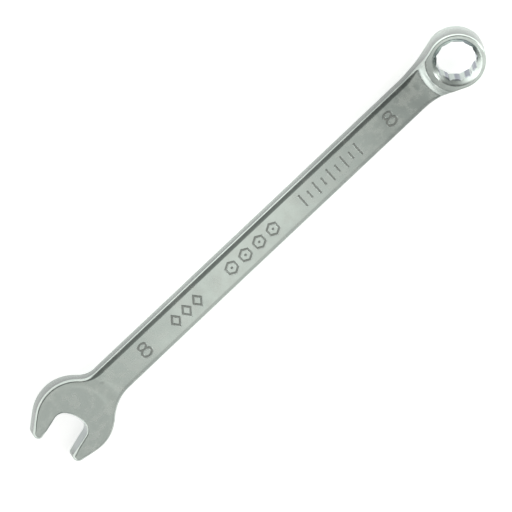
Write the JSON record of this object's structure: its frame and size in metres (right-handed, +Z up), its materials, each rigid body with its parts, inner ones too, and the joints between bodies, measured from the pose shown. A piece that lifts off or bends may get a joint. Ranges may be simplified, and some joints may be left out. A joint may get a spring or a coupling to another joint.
{
  "type": "combination wrench",
  "caption": "Combination wrench with an angled open jaw at one end and a cranked twelve-point ring at the other, for a nut 8 mm across flats.",
  "frame": {"origin": "bottom centre of the wrench's bounding box, on the plane that the open-end head's underside rests on", "axes": "+X along the shank from the open jaw to the ring, +Z up through the marked face, +Y to the left when looking along +X, on the side of the longer jaw"},
  "size_m": [0.13, 0.0178, 0.009],
  "materials": {
    "satin_chrome": "satin chrome plate over forged steel"
  },
  "bodies": {
    "root": {"open_end_head": "satin_chrome", "shank": "satin_chrome", "ring_head": "satin_chrome"}
  },
  "joints": []
}
